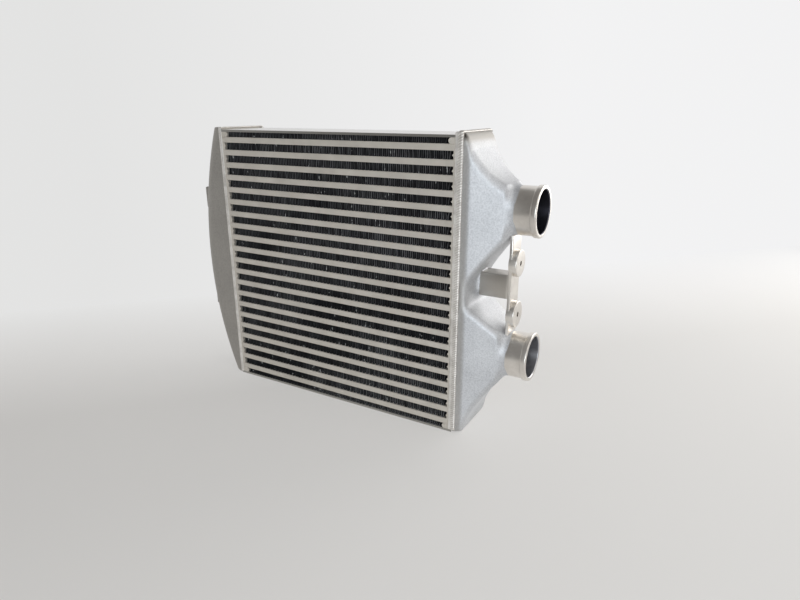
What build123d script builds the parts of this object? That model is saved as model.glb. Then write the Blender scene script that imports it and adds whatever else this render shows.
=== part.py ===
from build123d import *
import os
from math import cos, radians, sin, sqrt

# A bar-and-plate charge-air cooler with two cast end tanks, in millimetres.
# X runs along the charge passages, towards the ports. Y is the depth, and Z is up.
# The origin is in the middle of the underside of the core, where the cooler stands.

# Core
tube_count = 21
charge_bar_height = 4.0
charge_bar_width = 5.0
sheet_thickness = 0.5
fin_height = 6.5
end_fin_height = 4.6
end_plate_thickness = 2.0
fin_length = 235.0
core_depth = 57.0
end_bar_width = 4.5
end_bar_nose = 1.2
outer_end_bar_reach = 4.5
fin_leg_count = 32
fin_foil = 0.3
fin_setback = 0.8
turbulator_leg_count = 8
turbulator_foil = 0.3
turbulator_setback = 1.5

# Both cast tanks
tank_wall = 3.0
tank_top_step = 1.8
tank_foot_clearance = 0.3

# Return tank
return_end_reach = 14.5
return_crown_reach = 37.5
return_edge_radius = 13.0
return_end_bevel = 2.5
edge_facets = 3
pad_face_gap = 1.2
pad_height = 21.0
pad_depth = 37.0
lower_pad_height = 79.0
pad_spacing = 102.5
pad_edge_bevel = 1.0
pad_screw_radius = 2.5
pad_screw_depth = 7.0

# Ported tank
rim_reach = 9.0
rim_corner_radius = 2.0
shoulder_reach = 7.0
shoulder_fullness = 1.5
upper_shoulder_drop = 11.8
lower_shoulder_drop = 4.7
divider_thickness = 5.0
funnel_reach = 38.0
outer_corner_radius = 8.0
valley_corner_radius = 5.0
corner_facets = 3
shoulder_stations = (0.0, 0.35, 0.6, 0.8, 1.0)
funnel_stations = (0.0, 0.06, 0.2, 0.5, 0.84, 1.0)
inner_stations = (0.0, 0.2, 0.5, 1.0)
lower_port_height = 72.5
port_spacing = 119.5
valley_floor_height = 124.5
valley_width = 19.0
ramp_sag = 4.4
keel_flare = 16.0
valley_flare = 6.0

# Hose stubs
stub_radius = 19.0
stub_bore_radius = 17.0
stub_length = 20.5
bead_radius = 20.2
bead_length = 4.8
bead_edge_radius = 1.2
mouth_chamfer = 0.7

# Mounting bracket between the stubs
strut_height = 19.7
strut_depth = 16.0
strut_centre_height = 131.0
lobe_radius = 11.0
lobe_thickness = 6.6
lower_lobe_height = 107.2
lobe_spacing = 42.8
lobe_screw_radius = 2.1
neck_thickness = 3.4
neck_depth = 20.0
lobe_face_reach = 43.4
bracket_weld_in = 1.0

# Weld beads round the joints of core and tanks
ported_weld_width = 7.0
ported_weld_height = 1.4
return_weld_width = 3.6
return_weld_height = 0.6

# Worked out from the sizes above
tube_height = charge_bar_height + 2 * sheet_thickness
tube_pitch = tube_height + fin_height
first_tube_base = end_plate_thickness + end_fin_height
stack_height = tube_count * tube_height + (tube_count - 1) * fin_height
core_height = stack_height + 2 * (end_plate_thickness + end_fin_height)
core_width = fin_length + 2 * end_bar_width
header_x = core_width / 2
half_depth = core_depth / 2
tank_base = tank_foot_clearance
tank_top = core_height + tank_top_step
tank_height = tank_top - tank_base
middle_height = (tank_base + tank_top) / 2
upper_port_height = lower_port_height + port_spacing
upper_lobe_height = lower_lobe_height + lobe_spacing
rim_x = header_x + rim_reach
funnel_x = header_x + funnel_reach
lobe_face_x = header_x + lobe_face_reach
pad_face_x = -header_x - return_crown_reach - pad_face_gap


def block(x_range, y_range, z_range):
    """A box given by its lowest and highest place along each axis."""
    size = [high - low for low, high in (x_range, y_range, z_range)]
    centre = [(low + high) / 2 for low, high in (x_range, y_range, z_range)]
    return Pos(*centre) * Box(*size)


def tube_base(index):
    """Underside of a charge tube, counted from 0 at the bottom."""
    return first_tube_base + index * tube_pitch


def corrugation(length, height, foil, legs):
    """A folded foil seen along its folds, standing on the X axis: straight legs between two sheets."""
    leg = length / legs
    crests = [(-length / 2 + i * leg, i % 2 * (height - foil)) for i in range(legs + 1)]
    upper = [(x, y + foil) for x, y in reversed(crests)]
    return make_face(Polyline(*crests, *upper, close=True))


def upright_extrusion(face, depth):
    """Extrude a face drawn in X and Z through a depth that is centred on the core."""
    return extrude(Plane.XZ * face, depth / 2, both=True)


def charge_tube(base):
    """Two parting sheets closed at the front and back by bars, with the turbulator foil inside."""
    size = Rectangle(core_depth, tube_height) - Rectangle(core_depth - 2 * charge_bar_width, charge_bar_height)
    shell = extrude(Plane.YZ * size, core_width / 2, both=True)
    foil_length = core_width - 2 * turbulator_setback
    foil_depth = core_depth - 2 * charge_bar_width
    wave = corrugation(foil_depth, charge_bar_height, turbulator_foil, turbulator_leg_count)
    foil = extrude(Plane.YZ * wave, foil_length / 2, both=True)
    return [Pos(0, 0, base + tube_height / 2) * shell, Pos(0, 0, base + sheet_thickness) * foil]


def ambient_fin(base, length, height):
    """One row of folded cooling fin, as deep as the core less a small setback at each face."""
    wave = corrugation(length, height, fin_foil, fin_leg_count)
    return Pos(0, 0, base) * upright_extrusion(wave, core_depth - 2 * fin_setback)


def nosed_bar(height):
    """End bar of a full fin row: a rectangle whose inner edge carries a blunt nose at mid height."""
    inner = fin_length / 2
    outline = Polyline(
        (header_x, 0),
        (header_x, height),
        (inner, height),
        (inner, height * 0.7),
        (inner - end_bar_nose, height / 2),
        (inner, height * 0.3),
        (inner, 0),
        close=True,
    )
    return upright_extrusion(make_face(outline), core_depth)


def round_nosed_bar(height):
    """End bar of the two low outer rows: longer, with a half-round inner end."""
    inner = fin_length / 2 - outer_end_bar_reach
    edges = Polyline((inner + height / 2, height), (header_x, height), (header_x, 0), (inner + height / 2, 0))
    nose = ThreePointArc((inner + height / 2, 0), (inner, height / 2), (inner + height / 2, height))
    return upright_extrusion(make_face(edges + nose), core_depth)


def end_bars(side):
    """The bars that close one end of every fin row; side is 1 at the ports and -1 at the return tank."""
    full = nosed_bar(fin_height)
    low = round_nosed_bar(end_fin_height)
    bars = [Pos(0, 0, end_plate_thickness) * low]
    bars += [Pos(0, 0, tube_base(i) + tube_height) * full for i in range(tube_count - 1)]
    bars += [Pos(0, 0, first_tube_base + stack_height) * low]
    if side < 0:
        bars = [mirror(bar, about=Plane.YZ) for bar in bars]
    return bars


def end_plate(base):
    """Flat plate that closes the stack at its top or bottom."""
    return block((-header_x, header_x), (-half_depth, half_depth), (base, base + end_plate_thickness))


def rounded_corner(centre, radius, start, facets):
    """Points of a quarter turn about a centre, from the start angle on, in equal facets."""
    angles = [radians(start + 90 * i / facets) for i in range(facets + 1)]
    return [(centre[0] + radius * cos(angle), centre[1] + radius * sin(angle)) for angle in angles]


def return_body(inset, facets):
    """Solid form of the return tank: a shallow arch in side view, turned about its far centre."""
    bulge = return_crown_reach - return_end_reach
    arch_radius = ((tank_height / 2) ** 2 + bulge**2) / (2 * bulge)
    centre_x = -header_x - return_crown_reach + arch_radius
    radius = return_edge_radius - inset
    side = half_depth - inset
    reach = arch_radius - inset
    inside = arch_radius - return_crown_reach - 1
    edge = rounded_corner((reach - radius, side - radius), radius, 0, facets)
    section = [(inside, -side), *[(x, -y) for x, y in reversed(edge)], *edge, (inside, side)]
    ring = revolve(Plane.XY * make_face(Polyline(*section, close=True)), Axis.Y)
    z_range = (tank_base + inset, tank_top - inset)
    sector = block((-header_x - return_crown_reach, -header_x), (-half_depth, half_depth), z_range)
    return Pos(centre_x, 0, middle_height) * ring & sector


def mounting_pad(height):
    """Flat-faced cast pad on the crown of the return tank."""
    x_range = (pad_face_x, -header_x - return_end_reach)
    z_range = (height - pad_height / 2, height + pad_height / 2)
    pad = block(x_range, (-pad_depth / 2, pad_depth / 2), z_range)
    return chamfer(pad.faces().sort_by(Axis.X)[0].edges(), pad_edge_bevel)


def return_tank():
    """Cast tank that turns the air from the upper passages into the lower ones."""
    body = return_body(0, edge_facets)
    ends = [edge for edge in body.edges().filter_by(Axis.Y) if edge.center().X < -header_x - 1]
    body = chamfer(ShapeList(ends).group_by(Axis.Z)[0] + ShapeList(ends).group_by(Axis.Z)[-1], return_end_bevel)
    for height in (lower_pad_height, lower_pad_height + pad_spacing):
        body += mounting_pad(height)
    body -= return_body(tank_wall, 1)
    for height in (lower_pad_height, lower_pad_height + pad_spacing):
        mouth = Plane((pad_face_x, 0, height), z_dir=(1, 0, 0))
        body -= mouth * Cylinder(pad_screw_radius, pad_screw_depth, align=(Align.CENTER, Align.CENTER, Align.MIN))
    return body


def faceted_rectangle(x, depth, low, high, low_corner, high_corner):
    """Points round an upright rectangle at x, with its corners rounded in facets."""
    corners = ((1, high, high_corner), (-1, high, high_corner), (-1, low, low_corner), (1, low, low_corner))
    points = []
    for i, (side, z, corner) in enumerate(corners):
        inward = -corner if z == high else corner
        centre = (side * (depth / 2 - corner), z + inward)
        points += rounded_corner(centre, corner, 90 * i, corner_facets)
    return [(x, *point) for point in points]


def flat_sided(outlines):
    """Solid through a row of outlines whose matching sides are parallel."""
    faces = [make_face(Polyline(*outline, close=True)) for outline in (outlines[0], outlines[-1])]
    for near, far in zip(outlines, outlines[1:]):
        for i in range(len(near)):
            corners = (near[i - 1], near[i], far[i], far[i - 1])
            faces.append(make_face(Polyline(*corners, close=True)))
    return Solid(Shell([sketch.faces()[0] for sketch in faces]))


def rim(inset):
    """Root of the ported tank, whose top rounds over into the ramp of the upper funnel."""
    outlines = [faceted_rectangle(header_x, core_depth, tank_base, tank_top, rim_corner_radius, rim_corner_radius)]
    for u in shoulder_stations:
        fall = 1 - (1 - u**shoulder_fullness) ** (1 / shoulder_fullness)
        high = tank_top - upper_shoulder_drop * fall
        low = tank_base + (lower_shoulder_drop if u == 1 else 0)
        corner = rim_corner_radius + (outer_corner_radius - rim_corner_radius) * u
        outlines.append(faceted_rectangle(rim_x - shoulder_reach * (1 - u), core_depth, low, high, corner, corner))
    if not inset:
        return flat_sided(outlines)
    hollow = []
    for outline in outlines[2:]:
        x = outline[0][0] - inset
        low = min(point[2] for point in outline) + inset
        high = max(point[2] for point in outline) - inset
        hollow.append(faceted_rectangle(x, core_depth - 2 * inset, low, high, inset, inset))
    top = tank_top - inset
    mouth = faceted_rectangle(header_x - inset, core_depth - 2 * inset, tank_base + inset, top, inset, inset)
    return flat_sided([mouth] + hollow)


def rim_pockets():
    """The two chambers behind the rim, parted by the divider between inlet and outlet."""
    divider = tube_base(tube_count // 2) + tube_height + fin_height / 2
    chamber = rim(tank_wall)
    spans = ((tank_base, divider - divider_thickness / 2), (divider + divider_thickness / 2, tank_top))
    lower, upper = [chamber & block((header_x, rim_x), (-half_depth, half_depth), span) for span in spans]
    return lower, upper


def funnel(port_height, low_start, high_start, bows, corners, inset):
    """One funnel of the ported tank, from its mouth at the rim to the round stub."""
    end_radius = (stub_bore_radius if inset else stub_radius) / cos(radians(45 / corner_facets))
    outlines = []
    for t in inner_stations if inset else funnel_stations:
        low_bow, high_bow = [bow(t) for bow in bows]
        low = low_start + (port_height - stub_radius - low_start) * t + low_bow + inset
        high = high_start + (port_height + stub_radius - high_start) * t + high_bow - inset
        half = half_depth + (stub_radius - half_depth) * t - inset
        low_corner, high_corner = [corner - inset / 2 for corner in corners]
        if t == 1:
            low = port_height - end_radius
            high = port_height + end_radius
            half = end_radius
            low_corner = high_corner = end_radius * 0.99
        x = rim_x + (funnel_x - rim_x) * t
        outlines.append(faceted_rectangle(x, 2 * half, low, high, low_corner, high_corner))
    if inset:
        outlines.insert(0, [(x - inset, y, z) for x, y, z in outlines[0]])
    return flat_sided(outlines)


def ramp_bow(t):
    """Sag of the ramp below the straight line from the rim to the stub."""
    return -4 * ramp_sag * t * (1 - t)


def keel_bow(t):
    """Swell of the lowest wall, which rises steeply out of the rim."""
    return keel_flare * sqrt(t) * (1 - t)


def valley_bow(t):
    """Swell of the wall above the valley."""
    return valley_flare * sqrt(t) * (1 - t)


def both_funnels(inset):
    """Upper and lower funnels, which leave a V-shaped notch between them."""
    valley_low = valley_floor_height - valley_width / 2
    valley_high = valley_floor_height + valley_width / 2
    top = tank_top - upper_shoulder_drop
    bottom = tank_base + lower_shoulder_drop
    corners = (valley_corner_radius, outer_corner_radius)
    upper = funnel(upper_port_height, valley_high, top, (valley_bow, ramp_bow), corners, inset)
    lower = funnel(lower_port_height, bottom, valley_low, (keel_bow, lambda t: 0), corners[::-1], inset)
    return upper, lower


def stub_form():
    """Hose stub with its bead, turned about its own axis and pointing along +X."""
    bead_start = stub_length - bead_length
    outline = Polyline(
        (0, 0),
        (0, stub_radius),
        (bead_start, stub_radius),
        (bead_start + bead_edge_radius, bead_radius),
        (stub_length - bead_edge_radius, bead_radius),
        (stub_length, bead_radius - bead_edge_radius),
        (stub_length, 0),
        close=True,
    )
    return Pos(funnel_x, 0, 0) * revolve(make_face(outline), Axis.X)


def bore_form():
    """Bore of a stub, with its mouth eased."""
    outline = Polyline(
        (0, 0),
        (0, stub_bore_radius),
        (stub_length - mouth_chamfer, stub_bore_radius),
        (stub_length, stub_bore_radius + mouth_chamfer),
        (stub_length, 0),
        close=True,
    )
    return Pos(funnel_x, 0, 0) * revolve(make_face(outline), Axis.X)


def bracket():
    """Strut out of the valley, and the plate with two screw lobes that it carries."""
    back_x = lobe_face_x - lobe_thickness
    half_strut = strut_height / 2
    strut_z = (strut_centre_height - half_strut, strut_centre_height + half_strut)
    strut = block((rim_x - bracket_weld_in, back_x + neck_thickness / 2), (-strut_depth / 2, strut_depth / 2), strut_z)
    neck_z = (lower_port_height + stub_radius - bracket_weld_in, upper_port_height - stub_radius + bracket_weld_in)
    neck = block((back_x, back_x + neck_thickness), (-neck_depth / 2, neck_depth / 2), neck_z)
    plate = strut + neck
    for height in (lower_lobe_height, upper_lobe_height):
        lobe_plane = Plane((back_x, 0, height), z_dir=(1, 0, 0))
        plate += lobe_plane * Cylinder(lobe_radius, lobe_thickness, align=(Align.CENTER, Align.CENTER, Align.MIN))
    for height in (lower_lobe_height, upper_lobe_height):
        screw = Plane((back_x + lobe_thickness / 2, 0, height), z_dir=(1, 0, 0))
        plate -= screw * Cylinder(lobe_screw_radius, 3 * lobe_thickness)
    return plate


def ported_tank():
    """Cast tank with the inlet and outlet funnels, their stubs and the mounting bracket."""
    body = rim(0)
    for form in both_funnels(0):
        body += form
    for height in (lower_port_height, upper_port_height):
        body += Pos(0, 0, height) * stub_form()
    body += bracket()
    for hollow in rim_pockets() + both_funnels(tank_wall):
        body -= hollow
    for height in (lower_port_height, upper_port_height):
        body -= Pos(0, 0, height) * bore_form()
    return body


def weld_bead(joint_x, width, height, tank_form):
    """Bead along the front, top and back of the joint between the core and a tank."""
    x_range = (joint_x - width / 2, joint_x + width / 2)
    ring = block(x_range, (-half_depth - height, half_depth + height), (0, tank_top + height))
    long_edges = ring.edges().filter_by(Axis.X, reverse=True)
    ring = fillet([edge for edge in long_edges if edge.center().Z > 1], height * 0.8)
    core = block((-header_x, header_x), (-half_depth, half_depth), (0, core_height))
    foot = block(x_range, (-half_depth, half_depth), (0, tank_top))
    foot &= tank_form
    below = block(x_range, (-half_depth, half_depth), (0, middle_height))
    return ring - core - foot - below


os.makedirs("parts", exist_ok=True)
nodes = {"bottom_plate": end_plate(0), "top_plate": end_plate(core_height - end_plate_thickness)}
nodes["end_bars_return_side"] = Compound(end_bars(-1))
nodes["end_bars_port_side"] = Compound(end_bars(1))
for i in range(tube_count):
    nodes[f"charge_tube_{i + 1:02d}"] = Compound(charge_tube(tube_base(i)))
low_fin_length = fin_length - 2 * outer_end_bar_reach
nodes["ambient_fin_01"] = ambient_fin(end_plate_thickness, low_fin_length, end_fin_height)
for i in range(tube_count - 1):
    fin_base = tube_base(i) + tube_height
    nodes[f"ambient_fin_{i + 2:02d}"] = ambient_fin(fin_base, fin_length - 2 * end_bar_nose, fin_height)
nodes[f"ambient_fin_{tube_count + 1:02d}"] = ambient_fin(
    first_tube_base + stack_height, low_fin_length, end_fin_height
)
nodes["return_tank"] = return_tank()
nodes["ported_tank"] = ported_tank()
nodes["weld_bead_return_side"] = weld_bead(-header_x, return_weld_width, return_weld_height, return_body(0, edge_facets))
nodes["weld_bead_port_side"] = weld_bead(header_x, ported_weld_width, ported_weld_height, rim(0))
for name, shape in nodes.items():
    shape.label = name
    export_step(shape, f"parts/{name}.step")
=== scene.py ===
import math
import random

import bmesh
import bpy
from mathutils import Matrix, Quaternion, Vector


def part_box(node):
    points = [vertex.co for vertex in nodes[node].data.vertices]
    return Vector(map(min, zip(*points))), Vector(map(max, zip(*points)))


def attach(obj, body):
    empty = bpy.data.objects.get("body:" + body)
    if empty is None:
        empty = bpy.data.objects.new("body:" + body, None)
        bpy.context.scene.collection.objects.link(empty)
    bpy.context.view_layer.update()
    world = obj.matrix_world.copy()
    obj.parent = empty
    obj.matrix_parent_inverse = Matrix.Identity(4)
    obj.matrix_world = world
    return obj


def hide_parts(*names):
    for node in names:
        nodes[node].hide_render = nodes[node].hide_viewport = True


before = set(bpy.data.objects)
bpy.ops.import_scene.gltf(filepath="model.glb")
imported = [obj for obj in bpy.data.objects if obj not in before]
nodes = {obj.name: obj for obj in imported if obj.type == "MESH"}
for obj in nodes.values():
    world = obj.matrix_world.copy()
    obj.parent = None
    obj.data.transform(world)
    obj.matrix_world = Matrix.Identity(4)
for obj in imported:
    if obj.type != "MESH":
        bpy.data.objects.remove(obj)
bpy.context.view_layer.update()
print("frame loaded:", len(nodes), "nodes")

# pieces are in millimetres; finishes, stage, lamps and camera are in metres
halfDepth = 28.5  # half of the core's depth, front to back
portHeights = {"upper": 192.0, "lower": 72.5}  # middle lines of the two hose stubs


def addObject(name, data):
    added = bpy.data.objects.new(name, data)
    bpy.context.scene.collection.objects.link(added)
    return added


def addMesh(name, points, faces, smooth=True):
    mesh = bpy.data.meshes.new(name)
    mesh.from_pydata([(x / 1000, y / 1000, z / 1000) for x, y, z in points], [], faces)
    body = bmesh.new()
    body.from_mesh(mesh)
    bmesh.ops.recalc_face_normals(body, faces=body.faces)
    body.to_mesh(mesh)
    body.free()
    for face in mesh.polygons:
        face.use_smooth = smooth
    return addObject(name, mesh)


def modify(piece, kind, **settings):
    step = piece.modifiers.new(kind.lower(), kind)
    for key, value in settings.items():
        setattr(step, key, value)


def applyAll(piece):
    graph = bpy.context.evaluated_depsgraph_get()
    mesh = bpy.data.meshes.new_from_object(piece.evaluated_get(graph))
    piece.modifiers.clear()
    piece.data = mesh


def combine(piece, others, operation):
    for other in others:
        modify(piece, "BOOLEAN", operation=operation, object=other, solver="EXACT")
        applyAll(piece)
        bpy.data.objects.remove(other)


def joined(name, pieces):
    body = bmesh.new()
    for piece in pieces:
        body.from_mesh(piece.data)
        bpy.data.objects.remove(piece)
    mesh = bpy.data.meshes.new(name)
    body.to_mesh(mesh)
    body.free()
    return addObject(name, mesh)


def sharpen(piece, degrees):
    piece.data.set_sharp_from_angle(angle=math.radians(degrees))


def finish(piece, material, replaced=None):
    piece.data.materials.clear()
    piece.data.materials.append(material)
    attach(piece, "root")
    if replaced:
        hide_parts(replaced)


def box(name, x, y, z, edge=0.0, steps=3):
    corners = [(a, b, c) for a in x for b in y for c in z]
    faces = [(0, 1, 3, 2), (4, 6, 7, 5), (0, 4, 5, 1), (2, 3, 7, 6), (0, 2, 6, 4), (1, 5, 7, 3)]
    piece = addMesh(name, corners, faces, smooth=False)
    if edge:
        modify(piece, "BEVEL", width=edge / 1000, segments=steps, limit_method="NONE")
        applyAll(piece)
    return piece


# skins outlines into one body: closed at both ends, or a loop whose last outline meets the first
def rings(name, outlines, loop=False):
    count = len(outlines[0])
    points = [point for outline in outlines for point in outline]
    total = len(points)
    faces = []
    for i in range(len(outlines) if loop else len(outlines) - 1):
        for j in range(count):
            a = i * count + j
            b = i * count + (j + 1) % count
            faces.append((a, b, (b + count) % total, (a + count) % total))
    if not loop:
        faces += [tuple(range(count)), tuple(range(total - count, total))]
    return addMesh(name, points, faces)


# a body turned about a line along x; the profile is (x from the centre, radius)
def turned(name, profile, centre, steps=96, loop=False):
    outlines = []
    for x, radius in profile:
        ring = []
        for i in range(steps):
            angle = 2 * math.pi * i / steps
            y = centre[1] + radius * math.cos(angle)
            z = centre[2] + radius * math.sin(angle)
            ring.append((centre[0] + x, y, z))
        outlines.append(ring)
    return rings(name, outlines, loop)


def rod(name, radius, span, centre, steps=96):
    return turned(name, [(x, radius) for x in span], centre, steps)


# rounds the corners of a closed profile; a corner is (x, radius, rounding)
def eased(corners, steps=4):
    outline = []
    for i, (x, radius, rounding) in enumerate(corners):
        if not rounding:
            outline.append((x, radius))
            continue
        here = Vector((x, radius))
        before = (Vector(corners[i - 1][:2]) - here).normalized()
        after = (Vector(corners[(i + 1) % len(corners)][:2]) - here).normalized()
        half = before.angle(after) / 2
        middle = here + (before + after).normalized() * rounding / math.sin(half)
        start = here + before * rounding / math.tan(half) - middle
        end = here + after * rounding / math.tan(half) - middle
        for step in range(steps + 1):
            turn = start.lerp(end, step / steps).normalized() * rounding
            outline.append(tuple(middle + turn))
    return outline


class Wire:
    def __init__(self, look, socket):
        self.look = look
        self.socket = socket

    def maths(self, operation, *values):
        return self.look.node("ShaderNodeMath", {"operation": operation}, dict(enumerate(values)))

    def __abs__(self):
        return self.maths("ABSOLUTE", self)

    def __add__(self, other):
        return self.maths("ADD", self, other)

    def __radd__(self, other):
        return self.maths("ADD", other, self)

    def __sub__(self, other):
        return self.maths("SUBTRACT", self, other)

    def __rsub__(self, other):
        return self.maths("SUBTRACT", other, self)

    def __mul__(self, other):
        return self.maths("MULTIPLY", self, other)

    def __rmul__(self, other):
        return self.maths("MULTIPLY", other, self)


class Look:
    def __init__(self, name, **surface):
        self.material = bpy.data.materials.new(name)
        self.material.use_nodes = True
        self.tree = self.material.node_tree
        self.shader = self.tree.nodes["Principled BSDF"]
        for key, value in surface.items():
            self.shader.inputs[key.replace("_", " ")].default_value = value

    def node(self, kind, settings=None, inputs=None, output=0):
        made = self.tree.nodes.new(kind)
        for key, value in (settings or {}).items():
            setattr(made, key, value)
        for key, value in (inputs or {}).items():
            self.feed(made.inputs[key], value)
        return Wire(self, made.outputs[output])

    def feed(self, socket, value):
        if isinstance(value, Wire):
            self.tree.links.new(value.socket, socket)
        else:
            socket.default_value = value

    def place(self, stretch=None):
        spot = self.node("ShaderNodeNewGeometry", output="Position")
        return self.node("ShaderNodeMapping", None, {"Vector": spot, "Scale": stretch}) if stretch else spot

    def along(self, axis):
        return self.node("ShaderNodeSeparateXYZ", None, {"Vector": self.place()}, axis)

    def distance(self, centre, stretch=None):
        inputs = {0: self.place(stretch), 1: centre}
        return self.node("ShaderNodeVectorMath", {"operation": "DISTANCE"}, inputs, "Value")

    # scale is one number, or three for a noise stretched along the axes
    def noise(self, scale, detail=3, rough=0.5):
        stretch, scale = (scale, 1) if isinstance(scale, tuple) else (None, scale)
        inputs = {"Vector": self.place(stretch), "Scale": scale, "Detail": detail, "Roughness": rough}
        return self.node("ShaderNodeTexNoise", None, inputs)

    # goes from first to last while the value goes from start to end
    def fade(self, value, start, end, first=0.0, last=1.0):
        return self.node("ShaderNodeMapRange", None, {0: value, 1: start, 2: end, 3: first, 4: last})

    def mix(self, factor, first, second):
        return self.node("ShaderNodeMix", {"data_type": "RGBA"}, {0: factor, 6: first, 7: second}, 2)

    def bump(self, height, strength, distance):
        inputs = {"Height": height, "Strength": strength, "Distance": distance}
        return self.node("ShaderNodeBump", None, inputs)

    def out(self, **links):
        for key, value in links.items():
            self.feed(self.shader.inputs[key.replace("_", " ")], value)
        return self.material


boreShadeEdge = (0.017375, 0.01775)  # how far from a stub's middle line its painted bore shade ends


# painted shade inside each hose bore; on the turned stubs the lower bore is painted lighter than the upper
def paintBoreShade(look, colour, shades):
    for port, height in portHeights.items():
        inside = 1 - look.fade(look.distance((0, 0, height / 1000), (0, 1, 1)), *boreShadeEdge)
        colour = look.mix(inside, colour, shades[port + "Bore"])
    return colour


# a darker, warmer copy of the cast finish for the return tank: painted shade for the end that the lamps
# light less
shadedCastFinish = {
    "light": (0.47, 0.445, 0.415, 1), "dark": (0.34, 0.325, 0.30, 1), "rough": 0.46, "pits": 0.00014,
    "mottle": 24, "grain": 820, "fine": 2400, "clouds": (0.34, 0.66), "specks": (0.32, 0.62),
    "speckShare": 0.6}

# a darker warm tint on the rim strip beside the weld, heat tint and painted shade; painted shade along the
# top edge, and painted shade in one dark corner beside the weld
castFinish = {
    **shadedCastFinish, "light": (0.735, 0.745, 0.765, 1), "dark": (0.49, 0.50, 0.52, 1),
    "heatTintAndShade": (0.43, 0.41, 0.38, 1), "rimTintAndShade": (0.1284, 0.1316), "topEdgeShade": (0.243, 0.250), "rimShare": 0.65,
    "creviceShade": (0.03, 0.022, 0.016, 1), "creviceShadeAt": (0.1268, -0.0285, 0.2488), "creviceShadeReach": (0.00294, 0.00647),
    "upperBore": (0.16, 0.16, 0.175, 1), "lowerBore": (0.16, 0.16, 0.175, 1)}


def castAluminium(name, shades):
    look = Look(name, Metallic=0.7)
    mottle = look.noise(shades["mottle"], 5, 0.6)
    grain = look.noise(shades["grain"], 3, 0.6)
    fine = look.noise(shades["fine"], 2)
    clouds = look.fade(mottle, *shades["clouds"], 0, 1 - shades["speckShare"])
    specks = look.fade(grain, *shades["specks"], 0, shades["speckShare"])
    colour = look.mix(clouds + specks, shades["dark"], shades["light"])
    if "heatTintAndShade" in shades:
        # the rim strip beside the weld takes heat tint and painted shade, and the band along the top edge
        # takes painted shade
        rim = look.fade(look.along("X"), *shades["rimTintAndShade"], shades["rimShare"], 0)
        top = look.fade(look.along("Z") + grain * 0.002, *shades["topEdgeShade"])
        colour = look.mix(look.fade(rim + top, 0, 1, 0, 0.9), colour, shades["heatTintAndShade"])
        # painted shade in the dark corner where the weld meets the rim's top
        away = look.distance(shades["creviceShadeAt"]) + grain * 0.00176
        colour = look.mix(look.fade(away, *shades["creviceShadeReach"], 0.95, 0), colour, shades["creviceShade"])
        colour = paintBoreShade(look, colour, shades)
    skin = look.bump(grain * 0.75 + fine * 0.25, 0.6, shades["pits"])
    return look.out(Base_Color=colour, Roughness=shades["rough"] + mottle * 0.12 + fine * 0.06, Normal=skin)


barFinish = {
    "light": (0.78, 0.735, 0.665, 1), "dark": (0.62, 0.58, 0.52, 1), "metal": 0.55, "rough": 0.42,
    "mottle": 55, "drawn": (40, 900, 1500), "drawnShare": 0.35}

# the end plates are brighter, and darker on their front face as painted shade
plateFinish = {
    **barFinish, "light": (0.95, 0.94, 0.925, 1), "dark": (0.88, 0.87, 0.85, 1), "metal": 0.95,
    "rough": 0.24, "edge": (0.30, 0.29, 0.265, 1), "edgeFrom": (0.0283, 0.0284)}


def barAluminium(name, shades):
    look = Look(name, Metallic=shades["metal"])
    mottle = look.noise(shades["mottle"], 5, 0.6)
    drawn = look.noise(shades["drawn"], 3, 0.55)
    tone = look.fade(mottle, 0.3, 0.7, 0, 1 - shades["drawnShare"]) + drawn * shades["drawnShare"]
    colour = look.mix(tone, shades["dark"], shades["light"])
    if "edge" in shades:
        # painted shade on the plates' front face
        edge = look.fade(abs(look.along("Y")), *shades["edgeFrom"], 0, 0.85)
        colour = look.mix(edge, colour, shades["edge"])
    skin = look.bump(drawn, 0.25, 0.00005)
    return look.out(Base_Color=colour, Roughness=shades["rough"] + mottle * 0.16, Normal=skin)


# black foil, darkened further as painted shade; the outermost fold edges are painted lighter as painted
# light, more towards the port side, in patches and leg by leg
finFinish = {
    "paint": (0.007, 0.007, 0.009, 1), "litFront": (0.34, 0.34, 0.35, 1), "chipAndGlint": (0.80, 0.80, 0.80, 1),
    "litDepths": (0.0237, 0.02682, 0.02754), "deepLitShare": 0.02, "sideReach": 0.125, "patches": 15,
    "legs": (540, 0.01, 45), "chipsAndGlints": (620, 200, 170)}


def finFoilLook(shades):
    look = Look("black fin foil", Metallic=0.1, Specular_IOR_Level=0.3)
    depth = abs(look.along("Y"))
    inner, middle, outer = shades["litDepths"]
    # painted light on the front of the folds, fading into painted shade deeper in
    edge = look.fade(depth, inner, middle, 0, shades["deepLitShare"])
    edge = edge + look.fade(depth, middle, outer, 0, 1 - shades["deepLitShare"])
    legs = look.fade(look.noise(shades["legs"], 1), 0.34, 0.60, 0.2, 1)
    # painted light falloff: lighter towards the port side, nearer the lamps
    side = look.fade(look.along("X"), -shades["sideReach"], shades["sideReach"], 0.35, 1)
    patch = look.fade(look.noise(shades["patches"], 3, 0.55), 0.38, 0.58, 0.25, 1) * side
    colour = look.mix(edge * legs * patch, shades["paint"], shades["litFront"])
    # bright flecks on the lit edges: chips and painted glints
    chipGlint = look.fade(look.noise(shades["chipsAndGlints"], 2), 0.69, 0.73)
    colour = look.mix(chipGlint * edge, colour, shades["chipAndGlint"])
    return look.out(Base_Color=colour, Roughness=0.5 + patch * 0.12)


weldFinish = {
    "light": (0.93, 0.90, 0.86, 1), "dark": (0.70, 0.67, 0.63, 1), "grooveShade": (0.34, 0.305, 0.265, 1),
    "mottle": 120, "grain": 2200}


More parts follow.
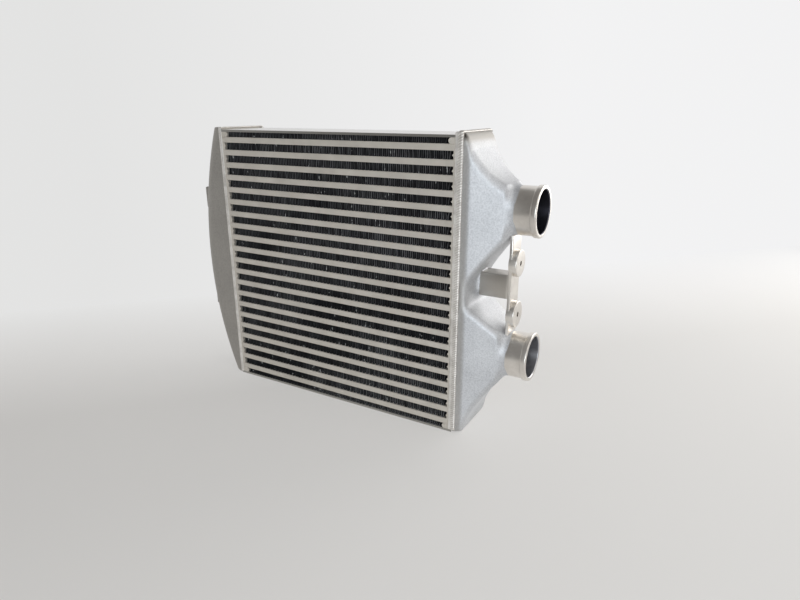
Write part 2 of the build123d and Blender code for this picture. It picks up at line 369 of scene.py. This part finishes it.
def weldMetal(shades):
    look = Look("weld metal", Metallic=0.6)
    mottle = look.noise(shades["mottle"], 4, 0.6)
    grain = look.noise(shades["grain"], 2)
    colour = look.mix(look.fade(mottle, 0.35, 0.62), shades["dark"], shades["light"])
    # painted shade in the grooves between the bead's ripples
    grooveShade = look.node("ShaderNodeAttribute", {"attribute_name": "grooveShade"}, output="Fac")
    colour = look.mix(grooveShade, colour, shades["grooveShade"])
    skin = look.bump(grain, 0.2, 0.00005)
    return look.out(Base_Color=colour, Roughness=0.30 + mottle * 0.16, Normal=skin)


# the strut lies behind the plate, and is painted darker as painted shade in its recess between the funnels
machinedFinish = {
    "light": (0.87, 0.835, 0.785, 1), "dark": (0.66, 0.625, 0.58, 1), "mottle": 60, "lines": (9000, 60, 60),
    "lineShare": 0.2, "strut": (0.42, 0.395, 0.36, 1), "strutEnd": (0.1564, 0.1584),
    "upperBore": (0.12, 0.12, 0.145, 1), "lowerBore": (0.52, 0.52, 0.54, 1)}


def machinedAluminium(shades):
    look = Look("machined aluminium", Metallic=1.0)
    lines = look.noise(shades["lines"], 2)
    mottle = look.noise(shades["mottle"], 4, 0.6)
    tone = look.fade(mottle, 0.3, 0.7, 0, 1 - shades["lineShare"]) + lines * shades["lineShare"]
    colour = look.mix(tone, shades["dark"], shades["light"])
    # painted shade on the strut
    strut = look.fade(look.along("X"), *shades["strutEnd"], 0.75, 0)
    colour = paintBoreShade(look, look.mix(strut, colour, shades["strut"]), shades)
    skin = look.bump(lines, 0.25, 0.00003)
    return look.out(Base_Color=colour, Roughness=0.26 + mottle * 0.14, Normal=skin)


castMetal = castAluminium("cast aluminium", castFinish)
shadedCastMetal = castAluminium("shaded cast aluminium", shadedCastFinish)
barMetal = barAluminium("brazed bar aluminium", barFinish)
plateMetal = barAluminium("end plate aluminium", plateFinish)
finBlack = finFoilLook(finFinish)
weldBright = weldMetal(weldFinish)
turnedMetal = machinedAluminium(machinedFinish)
print("finishes made")


# a row is square folds of foil that wave from front to back; no two legs stand quite alike
fin = {"legs": 125, "foil": 0.16, "crest": 0.9, "wave": 1.0, "bends": 8, "bow": 0.1, "bowSpread": 0.08,
       "lean": 0.14, "kink": 0.7}


def foldLine(low, high, chance):
    sweep = fin["wave"] + fin["lean"]
    pitch = (high.x - low.x - 2 * sweep) / fin["legs"]
    flat = fin["crest"] * pitch / 2
    line = []
    for leg in range(fin["legs"] + 1):
        x = low.x + sweep + leg * pitch
        z = high.z - fin["foil"] if leg % 2 else low.z
        inner = 0 < leg < fin["legs"]
        if inner:
            x += chance.uniform(-1, 1) * fin["lean"]
        if line:
            lastX, lastZ = line[-1]
            bow = fin["bow"] + chance.uniform(-fin["bowSpread"], fin["bowSpread"])
            kink = fin["lean"] * chance.uniform(-fin["kink"], fin["kink"])
            line.append(((lastX + x - flat) / 2 + bow + kink, (lastZ + z) / 2))
        line += [(x - flat, z), (x + flat, z)] if inner else [(x, z)]
    return line


def finRow(name, node, seed):
    low, high = (corner * 1000 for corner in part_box(node))
    line = foldLine(low, high, random.Random(seed))
    count = len(line)
    thick = fin["foil"]
    points = []
    for i in range(fin["bends"] + 1):
        y = low.y + (high.y - low.y) * i / fin["bends"]
        shift = fin["wave"] * (1 if i % 2 else -1) * (0.5 if i in (0, fin["bends"]) else 1)
        points += [(x + shift, y, z) for x, z in line]
        for j, (x, z) in enumerate(line):
            rise = line[min(j + 1, count - 1)][1] - line[max(j - 1, 0)][1]
            side = math.copysign(thick / 2, -rise) if abs(rise) > 1 else 0
            points.append((x + shift + side, y, z + thick))
    faces = []
    for i in range(fin["bends"]):
        a = i * 2 * count
        b = a + 2 * count
        for j in range(count - 1):
            faces.append((a + j, a + j + 1, b + j + 1, b + j))
            faces.append((a + count + j, b + count + j, b + count + j + 1, a + count + j + 1))
    for a in (0, fin["bends"] * 2 * count):
        for j in range(count - 1):
            faces.append((a + j, a + count + j, a + count + j + 1, a + j + 1))
    finish(addMesh(name, points, faces, smooth=False), finBlack, node)


finNodes = sorted(name for name in nodes if name.startswith("ambient_fin"))
for number, node in enumerate(finNodes, 1):
    finRow(f"finRow{number:02d}", node, number)
print("fins folded:", len(finNodes), "rows")


# two sheets, a closing bar at the front and at the back, and a folded foil between them
tube = {"sheet": 0.5, "sheetEdge": 0.12, "recess": 0.12, "barDepth": 5.0, "barEdge": 0.45, "barLap": 0.275,
        "folds": 22, "foil": 0.25, "foilInset": 1.5, "foilGap": 0.3, "foilLift": 0.01}


def turbulator(low, high):
    x = (low.x + tube["foilInset"], high.x - tube["foilInset"])
    front = low.y + tube["barDepth"] + tube["foilGap"]
    back = high.y - tube["barDepth"] - tube["foilGap"]
    floor = low.z + tube["sheet"] + tube["foilLift"]
    roof = high.z - tube["sheet"] - tube["foil"] - tube["foilLift"]
    points = []
    faces = []
    for fold in range(tube["folds"] + 1):
        y = front + (back - front) * fold / tube["folds"]
        z = roof if fold % 2 else floor
        points += [(x[0], y, z), (x[1], y, z), (x[0], y, z + tube["foil"]), (x[1], y, z + tube["foil"])]
        if fold:
            b = fold * 4
            a = b - 4
            faces += [(a, a + 1, b + 1, b), (a + 2, b + 2, b + 3, a + 3)]
            faces += [(a, b, b + 2, a + 2), (a + 1, a + 3, b + 3, b + 1)]
    return addMesh("foil", points, faces, smooth=False)


def chargeTube(name, node):
    low, high = (corner * 1000 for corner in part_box(node))
    x = (low.x, high.x)
    sheetY = (low.y + tube["recess"], high.y - tube["recess"])
    barZ = (low.z + tube["barLap"], high.z - tube["barLap"])
    parts = []
    for z in ((low.z, low.z + tube["sheet"]), (high.z - tube["sheet"], high.z)):
        parts.append(box("sheet", x, sheetY, z, tube["sheetEdge"], steps=1))
    for y in ((low.y, low.y + tube["barDepth"]), (high.y - tube["barDepth"], high.y)):
        parts.append(box("bar", x, y, barZ, tube["barEdge"]))
    parts.append(turbulator(low, high))
    finish(joined(name, parts), barMetal, node)


tubeNodes = sorted(name for name in nodes if name.startswith("charge_tube"))
for number, node in enumerate(tubeNodes, 1):
    chargeTube(f"chargeTube{number:02d}", node)
print("charge tubes stacked:", len(tubeNodes))

carriedOver = {"bottom_plate": plateMetal, "top_plate": plateMetal,
               "end_bars_return_side": barMetal, "end_bars_port_side": barMetal}
for node, material in carriedOver.items():
    nodes[node].data.materials.clear()
    nodes[node].data.materials.append(material)


# a bead runs up the front of its joint, over the top and down the back
# rope is the part of the width that the rippled run takes, from its outer edge
weldShape = {"top": 249.95, "corner": 0.6, "bends": 6, "step": 0.3, "points": 13, "sink": 0.05,
             "root": 0.6, "taper": 8}
portWeld = {
    "inner": 118.5, "outer": 125.5, "rope": 0.64, "height": 1.4, "flank": 0.45, "ripple": 2.0,
    "depth": 0.45, "slant": 1.1, "curve": 0.5, "drift": 0.03, "foot": 2.2, "seed": 4}
returnWeld = {
    "inner": -120.2, "outer": -123.8, "rope": 0.8, "height": 0.6, "flank": 0.3, "ripple": 1.5,
    "depth": 0.2, "slant": 0.3, "curve": 0.3, "drift": 0.006, "foot": 1.5, "seed": 9}


def weldPath(foot):
    top, corner, step = (weldShape[key] for key in ("top", "corner", "step"))
    bends = [math.pi / 2 * turn / weldShape["bends"] for turn in range(1, weldShape["bends"])]
    path = []  # each step is a depth, a height, and the way out of the joint

    def bend(side, angle):
        outY, outZ = side * math.sin(angle), math.cos(angle)
        path.append((side * (halfDepth - corner) + corner * outY, top - corner + corner * outZ, outY, outZ))

    rise = foot
    while rise < top - corner:
        path.append((-halfDepth, rise, -1, 0))
        rise += step
    for angle in reversed(bends):
        bend(-1, angle)
    across = corner - halfDepth
    while across <= halfDepth - corner:
        path.append((across, top, 0, 1))
        across += step
    for angle in bends:
        bend(1, angle)
    while rise > foot:
        rise -= step
        path.append((halfDepth, rise, 1, 0))
    return path


def weldRun(name, weld, node):
    chance = random.Random(weld["seed"])
    path = weldPath(weld["foot"])
    width = weld["outer"] - weld["inner"]
    halfRope = width * weld["rope"] / 2
    sink, root, taper = (weldShape[key] for key in ("sink", "root", "taper"))
    outlines = []
    grooveShades = []
    drift = 0.0
    for i, (y, z, outY, outZ) in enumerate(path):
        drift = drift * 0.93 + chance.uniform(-1, 1) * weld["drift"]
        reach = min(1.0, (i + 1) / taper, (len(path) - i) / taper) ** 0.5
        ring = []
        for j in range(weldShape["points"]):
            share = j / (weldShape["points"] - 1)
            x = weld["inner"] + width * share
            across = (x - weld["outer"] + halfRope) / halfRope
            lag = weld["slant"] * across - weld["curve"] * across * across
            wave = abs(math.sin(math.pi * (i * weldShape["step"] - lag) / weld["ripple"])) ** 0.7
            rope = max(0.0, 1 - across * across) ** 0.5 * (1 - weld["depth"] * (1 - wave)) * (1 + drift)
            flank = weld["flank"] * min(1.0, share * 5) ** 0.5 if across < 0 else 0
            lift = min(max(rope, flank), 1.0) * weld["height"] * reach - sink
            ring.append((x, y + outY * lift, z + outZ * lift))
            # how much painted shade each point gets, most in a ripple's groove
            grooveShades.append((1 - wave) ** 1.5 * weld["depth"] * 1.6 if rope > 0 else 0.0)
        ring.append((weld["inner"] + width / 2, y - outY * root, z - outZ * root))
        grooveShades.append(0.0)
        outlines.append(ring)
    bead = rings(name, outlines)
    bead.data.attributes.new("grooveShade", "FLOAT", "POINT").data.foreach_set("value", grooveShades)
    finish(bead, weldBright, node)


weldRun("weldPortSide", portWeld, "weld_bead_port_side")
weldRun("weldReturnSide", returnWeld, "weld_bead_return_side")
print("weld beads laid")


# turns joined bodies into one cast skin; blend gives a spot's share of the extra rounding
def castSkin(piece, skin, blend=None):
    modify(piece, "REMESH", mode="VOXEL", voxel_size=skin["voxel"] / 1000, use_smooth_shade=True)
    applyAll(piece)
    modify(piece, "SMOOTH", factor=0.5, iterations=skin["soften"])
    if blend:
        group = piece.vertex_groups.new(name="blend")
        for vertex in piece.data.vertices:
            weight = blend(vertex.co * 1000)
            if weight > 0:
                group.add([vertex.index], weight, "REPLACE")
        modify(piece, "SMOOTH", factor=0.5, iterations=skin["rounds"], vertex_group="blend")
    applyAll(piece)
    piece.vertex_groups.clear()
    return piece


# the crown is an arch in side view, with rounded long edges
returnTank = {"join": -122.0, "endReach": 14.5, "crownReach": 37.5, "edge": 13.0, "low": 0.3, "high": 250.0,
              "steps": 60, "turns": 10}
returnSkin = {"voxel": 0.8, "soften": 4}
pads = {"face": -160.7, "inside": -140, "halfDepth": 18.5, "heights": (79.0, 181.5), "halfHeight": 10.5,
        "edge": 0.8, "hole": 2.5, "holeDepth": 7.0}


def returnOutlines():
    r = returnTank
    middle = (r["low"] + r["high"]) / 2
    half = (r["high"] - r["low"]) / 2
    bulge = r["crownReach"] - r["endReach"]
    arch = (half ** 2 + bulge ** 2) / (2 * bulge)
    centre = r["join"] - r["crownReach"] + arch
    outlines = []
    for i in range(r["steps"] + 1):
        z = -half + 2 * half * i / r["steps"]
        arc = []
        for turn in range(r["turns"] + 1):
            angle = math.pi / 2 * turn / r["turns"]
            reach = arch - r["edge"] + r["edge"] * math.sin(angle)
            depth = halfDepth - r["edge"] + r["edge"] * math.cos(angle)
            arc.append((centre - math.sqrt(reach ** 2 - z * z), depth, middle + z))
        ring = [(r["join"], -halfDepth, middle + z), (r["join"], halfDepth, middle + z)]
        outlines.append(ring + arc + [(x, -depth, height) for x, depth, height in reversed(arc)])
    return outlines


def makeReturnTank():
    parts = [rings("shell", returnOutlines())]
    holes = []
    for height in pads["heights"]:
        y = (-pads["halfDepth"], pads["halfDepth"])
        z = (height - pads["halfHeight"], height + pads["halfHeight"])
        parts.append(box("pad", (pads["face"], pads["inside"]), y, z, pads["edge"]))
        mouth = (pads["face"], 0, height)
        holes.append(rod("hole", pads["hole"], (-1, pads["holeDepth"]), mouth, steps=32))
    tank = castSkin(joined("returnTank", parts), returnSkin)
    combine(tank, holes, "DIFFERENCE")
    sharpen(tank, 60)
    finish(tank, shadedCastMetal, "return_tank")


makeReturnTank()
print("return tank cast")


# a funnel leaves the rim as a rounded rectangle and ends round, at its stub
# the rim draws in by topDrop and footRise; crowd packs a funnel's outlines towards the rim
rim = {
    "join": 122.0, "end": 131.0, "low": 0.3, "high": 250.0, "reach": 7.0, "fullness": 1.5, "topDrop": 11.8,
    "footRise": 4.7, "footFrom": 0.8, "corner": 2, "cornerGain": 6, "steps": 16, "wall": 3.0,
    "innerCorner": 3, "divider": (122.25, 127.25), "roomX": (120, 129), "roomY": (-30, 30)}
funnel = {"end": 160.0, "overlap": 4, "crowd": 1.3, "roundFrom": 0.86, "roundness": 0.995, "steps": 30}
upperPort = {"height": portHeights["upper"], "low": 134.0, "high": 238.2, "lowRound": 5.0,
             "highRound": 8.0, "flare": 6.0, "sag": 4.4}
lowerPort = {"height": portHeights["lower"], "low": 5.0, "high": 115.0, "lowRound": 8.0,
             "highRound": 5.0, "flare": 16.0, "sag": 0.0}
stub = {"radius": 19.0, "bore": 17.0, "length": 20.5, "bead": 20.2, "beadLength": 4.8, "sleeve": 0.03,
        "liner": 0.02, "mouth": 0.5, "mouthDepth": 0.7, "start": 3, "rootX": (-2, 9), "boreX": (-3, 24)}
strutRoot = {"x": (129, 139), "y": (-7.4, 7.4), "z": (121.8, 140.2), "edge": 1.5}
portedSkin = {"voxel": 0.8, "soften": 4, "rounds": 160}
valleyBlend = {"x": 128.0, "z": 124.6, "reachX": 26.0, "reachZ": 17.0, "root": 161.0, "rootReach": 5.0}


def roundedOutline(x, half, low, high, lowRound, highRound, turns=8, runs=6):
    corners = ((1, high - highRound, highRound, 0), (-1, high - highRound, highRound, 90),
               (-1, low + lowRound, lowRound, 180), (1, low + lowRound, lowRound, 270))
    arcs = []
    for side, z, size, start in corners:
        arc = []
        for turn in range(turns + 1):
            angle = math.radians(start + 90 * turn / turns)
            arc.append((x, side * (half - size) + size * math.cos(angle), z + size * math.sin(angle)))
        arcs.append(arc)
    outline = []
    for k, arc in enumerate(arcs):
        outline += arc
        last, goal = Vector(arc[-1]), Vector(arcs[(k + 1) % 4][0])
        outline += [tuple(last.lerp(goal, run / runs)) for run in range(1, runs)]
    return outline


def rimForm(inset=0.0):
    corner = rim["corner"]
    outlines = []
    if not inset:
        outlines.append(roundedOutline(rim["join"], halfDepth, rim["low"], rim["high"], corner, corner))
    for i in range(rim["steps"] + 1):
        u = i / rim["steps"]
        drop = rim["topDrop"] * (1 - (1 - u ** rim["fullness"]) ** (1 / rim["fullness"]))
        rise = rim["footRise"] * max(0.0, (u - rim["footFrom"]) / (1 - rim["footFrom"])) ** 2
        size = rim["innerCorner"] if inset else corner + rim["cornerGain"] * u
        x = rim["end"] - rim["reach"] * (1 - u) - inset
        low = rim["low"] + rise + inset
        high = rim["high"] - drop - inset
        outlines.append(roundedOutline(x, halfDepth - inset, low, high, size, size))
    return rings("rim", outlines)


def funnelForm(port, inset=0.0):
    radius = stub["radius"]
    outlines = []
    for i in range(funnel["steps"] + 1):
        t = (i / funnel["steps"]) ** funnel["crowd"]
        flare = port["flare"] * math.sqrt(t) * (1 - t)
        sag = port["sag"] * 4 * t * (1 - t)
        low = port["low"] + (port["height"] - radius - port["low"]) * t + flare + inset
        high = port["high"] + (port["height"] + radius - port["high"]) * t - sag - inset
        half = halfDepth + (radius - halfDepth) * t - inset
        turn = max(0.0, (t - funnel["roundFrom"]) / (1 - funnel["roundFrom"]))
        turn = turn * turn * (3 - 2 * turn)
        full = min(half, (high - low) / 2) * funnel["roundness"]
        sizes = []
        for corner in (port["lowRound"], port["highRound"]):
            start = corner - inset / 2
            sizes.append(start + (full - start) * turn)
        x = rim["end"] + (funnel["end"] - rim["end"]) * t
        outlines.append(roundedOutline(x, half, low, high, *sizes))
    first = [(x - funnel["overlap"], y, z) for x, y, z in outlines[0]]
    return rings("funnel", [first] + outlines)


def valleyWeight(spot):
    b = valleyBlend
    valley = 1 - math.hypot((spot.x - b["x"]) / b["reachX"], (spot.z - b["z"]) / b["reachZ"])
    root = 1 - abs(spot.x - b["root"]) / b["rootReach"]
    return min(1.0, max(valley * 2, root * 2, 0.0))


def portBore(port, radius):
    return rod("bore", radius, stub["boreX"], (funnel["end"], 0, port["height"]))


def rimRoom(low, high):
    hollow = rimForm(rim["wall"])
    combine(hollow, [box("room", rim["roomX"], rim["roomY"], (low, high))], "INTERSECT")
    return hollow


def makePortedTank():
    parts = [rimForm()]
    hollows = []
    for port in (upperPort, lowerPort):
        parts.append(funnelForm(port))
        middle = (funnel["end"], 0, port["height"])
        parts.append(rod("root", stub["radius"], stub["rootX"], middle, steps=64))
        hollows += [portBore(port, stub["bore"]), funnelForm(port, rim["wall"])]
    parts.append(box("strutRoot", strutRoot["x"], strutRoot["y"], strutRoot["z"], strutRoot["edge"]))
    tank = castSkin(joined("portedTank", parts), portedSkin, valleyWeight)
    lower, upper = rim["divider"]
    hollows += [rimRoom(rim["low"] + rim["wall"], lower), rimRoom(upper, rim["high"] - rim["wall"])]
    combine(tank, hollows, "DIFFERENCE")
    finish(tank, castMetal, "ported_tank")


def portStub(name, port):
    tip = stub["length"]
    beadStart = tip - stub["beadLength"]
    outside = stub["radius"] + stub["sleeve"]
    inside = stub["bore"] - stub["liner"]
    corners = [(stub["start"], outside, 0), (beadStart, outside, 0.3), (beadStart, stub["bead"], 0.9),
               (tip, stub["bead"], 0.9), (tip, stub["bore"] + stub["mouth"], 0.5),
               (tip - stub["mouthDepth"], inside, 0.3), (stub["start"], inside, 0)]
    piece = turned(name, eased(corners), (funnel["end"], 0, port["height"]), steps=128, loop=True)
    sharpen(piece, 50)
    finish(piece, turnedMetal)


# a strut out of the valley carries a neck with two screw lobes
bracket = {
    "root": 134, "strutZ": (121.15, 140.85), "strutDepth": 8.0, "lap": 1.7, "face": 165.4, "thick": 6.6,
    "lobe": 11.0, "lobeEdge": 0.7, "lobes": (107.2, 150.0), "screw": 2.1, "screwX": (-12, 12), "neck": 2.7,
    "neckDepth": 10.0, "neckZ": (90.5, 174.0), "edge": 0.9, "clearBore": 17.5}


def makeBracket():
    r = bracket
    back = r["face"] - r["thick"]
    strutY = (-r["strutDepth"], r["strutDepth"])
    neckY = (-r["neckDepth"], r["neckDepth"])
    plate = box("bracket", (r["root"], back + r["lap"]), strutY, r["strutZ"], r["edge"])
    added = [box("neck", (back, back + r["neck"]), neckY, r["neckZ"], r["edge"])]
    profile = [(0, r["lobe"])]
    for turn in (0, 0.4, 0.8, 1.2, 1.57):
        x = r["thick"] - r["lobeEdge"] + r["lobeEdge"] * math.sin(turn)
        profile.append((x, r["lobe"] - r["lobeEdge"] + r["lobeEdge"] * math.cos(turn)))
    holes = []
    for height in r["lobes"]:
        added.append(turned("lobe", profile, (back, 0, height)))
        holes.append(rod("hole", r["screw"], r["screwX"], (r["face"], 0, height), steps=32))
    combine(plate, added, "UNION")
    bores = [portBore(port, r["clearBore"]) for port in (upperPort, lowerPort)]
    combine(plate, holes + bores, "DIFFERENCE")
    sharpen(plate, 35)
    finish(plate, turnedMetal)


makePortedTank()
portStub("upperStub", upperPort)
portStub("lowerStub", lowerPort)
makeBracket()
print("ported tank cast")


# paper that lies flat and then bends up behind; turn is the way to its back, in degrees
stage = {"reach": 4.0, "front": -3.0, "back": 0.36, "bend": 0.16, "bendSteps": 12, "height": 1.0,
         "turn": 136.187, "under": 0.00005}
# the camera and glossy rays see the paper glow; for glossy rays it darkens far out in front as painted
# shade, and the glow on floor and wall is painted lighter towards the right and back as painted light
paper = {
    "colour": (0.72, 0.71, 0.695, 1), "floor": ((0.80, 0.785, 0.765, 1), (1.0, 0.99, 0.975, 1)),
    "wall": ((0.77, 0.77, 0.765, 1), (0.89, 0.89, 0.895, 1)), "far": (0.22, 0.215, 0.21, 1),
    "rise": (0.02, 0.36), "glow": (0.45, 1.0), "sides": (-0.44, 0.70), "farEdge": (-0.65, -0.3)}


def paperLook(facing):
    look = Look("paper sweep", Base_Color=paper["colour"], Roughness=0.9)
    camera = look.node("ShaderNodeLightPath", output="Is Camera Ray")
    seen = camera + look.node("ShaderNodeLightPath", output="Is Glossy Ray")
    back = look.along("X") * facing.x + look.along("Y") * facing.y
    # painted light: the floor and wall glow lighter towards the right and back
    side = look.fade(look.along("X") + look.along("Y"), *paper["sides"])
    near = look.fade(back, *paper["farEdge"]) + camera
    floor = look.mix(near, paper["far"], look.mix(side, *paper["floor"]))
    tone = look.mix(look.fade(back, *paper["rise"]), floor, look.mix(side, *paper["wall"]))
    glow = look.node("ShaderNodeEmission", None, {"Color": tone})
    share = seen * look.fade(back, *paper["rise"], *paper["glow"])
    plain = Wire(look, look.shader.outputs["BSDF"])
    mixed = look.node("ShaderNodeMixShader", None, {0: share, 1: plain, 2: glow})
    look.feed(look.tree.nodes["Material Output"].inputs["Surface"], mixed)
    return look.material


def makeStage():
    profile = [(stage["front"], 0.0), (0.0, 0.0), (stage["back"], 0.0)]
    for turn in range(1, stage["bendSteps"] + 1):
        angle = math.pi / 2 * turn / stage["bendSteps"]
        rise = stage["bend"] * (1 - math.cos(angle))
        profile.append((stage["back"] + stage["bend"] * math.sin(angle), rise))
    profile.append((stage["back"] + stage["bend"], stage["height"]))
    angle = math.radians(stage["turn"])
    facing = Vector((math.cos(angle), math.sin(angle), 0))
    across = Vector((facing.y, -facing.x, 0))
    points = []
    for back, z in profile:
        for side in (-stage["reach"], stage["reach"]):
            spot = facing * back + across * side
            points.append((spot.x * 1000, spot.y * 1000, (z - stage["under"]) * 1000))
    faces = [(2 * i, 2 * i + 1, 2 * i + 3, 2 * i + 2) for i in range(len(profile) - 1)]
    sweep = addMesh("sweep", points, faces)
    sweep.data.materials.append(paperLook(facing))


lamps = {
    "window": {"place": (0.68, -0.98, 0.15), "aim": (0.14, 0, 0.14), "size": (0.8, 0.8), "power": 8.2,
               "colour": (0.88, 0.945, 1.0)},
    "rear": {"place": (0.55, 0.74, 0.40), "aim": (0.12, 0, 0.15), "size": (0.55, 0.75), "power": 3.3,
             "colour": (1.0, 0.98, 0.95)},
    "side": {"place": (1.0, -0.15, 0.85), "aim": (0.14, 0, 0.15), "size": (1.2, 1.2), "power": 4.2,
             "colour": (1.0, 0.985, 0.96)}}
room = {"colour": (1.0, 0.975, 0.95, 1), "light": 0.22, "seen": 0.82}  # how strong it lights, and looks
view = {"place": (0.3032, -0.4325, 0.2674), "aim": (0.05492, 0.0, 0.101379), "roll": -0.1315,
        "lens": 26.05, "sensor": 36, "near": 0.01}


def aimed(added, place, aim, roll=0.0):
    turn = (Vector(aim) - Vector(place)).to_track_quat("-Z", "Y")
    added.location = place
    added.rotation_euler = (turn @ Quaternion((0, 0, 1), math.radians(roll))).to_euler()


def areaLight(name, lamp):
    data = bpy.data.lights.new(name, "AREA")
    data.shape = "RECTANGLE"
    data.size, data.size_y = lamp["size"]
    data.energy = lamp["power"]
    data.color = lamp["colour"]
    holder = addObject(name, data)
    holder.visible_camera = False
    aimed(holder, lamp["place"], lamp["aim"])


def makeRoom():
    world = bpy.data.worlds.new("room")
    bpy.context.scene.world = world
    world.use_nodes = True
    tree = world.node_tree
    ground = tree.nodes["Background"]
    ground.inputs["Color"].default_value = room["colour"]
    level = tree.nodes.new("ShaderNodeMath")
    level.operation = "MULTIPLY_ADD"
    level.inputs[1].default_value = room["seen"] - room["light"]
    level.inputs[2].default_value = room["light"]
    tree.links.new(tree.nodes.new("ShaderNodeLightPath").outputs["Is Camera Ray"], level.inputs[0])
    tree.links.new(level.outputs[0], ground.inputs["Strength"])


def makeCamera():
    data = bpy.data.cameras.new("camera")
    data.sensor_width = view["sensor"]
    data.lens = view["lens"]
    data.clip_start = view["near"]
    camera = addObject("camera", data)
    aimed(camera, view["place"], view["aim"], view["roll"])
    bpy.context.scene.camera = camera


makeStage()
makeRoom()
for name, lamp in lamps.items():
    areaLight(name, lamp)
makeCamera()
bpy.context.scene.view_settings.view_transform = "Standard"
print("stage set")
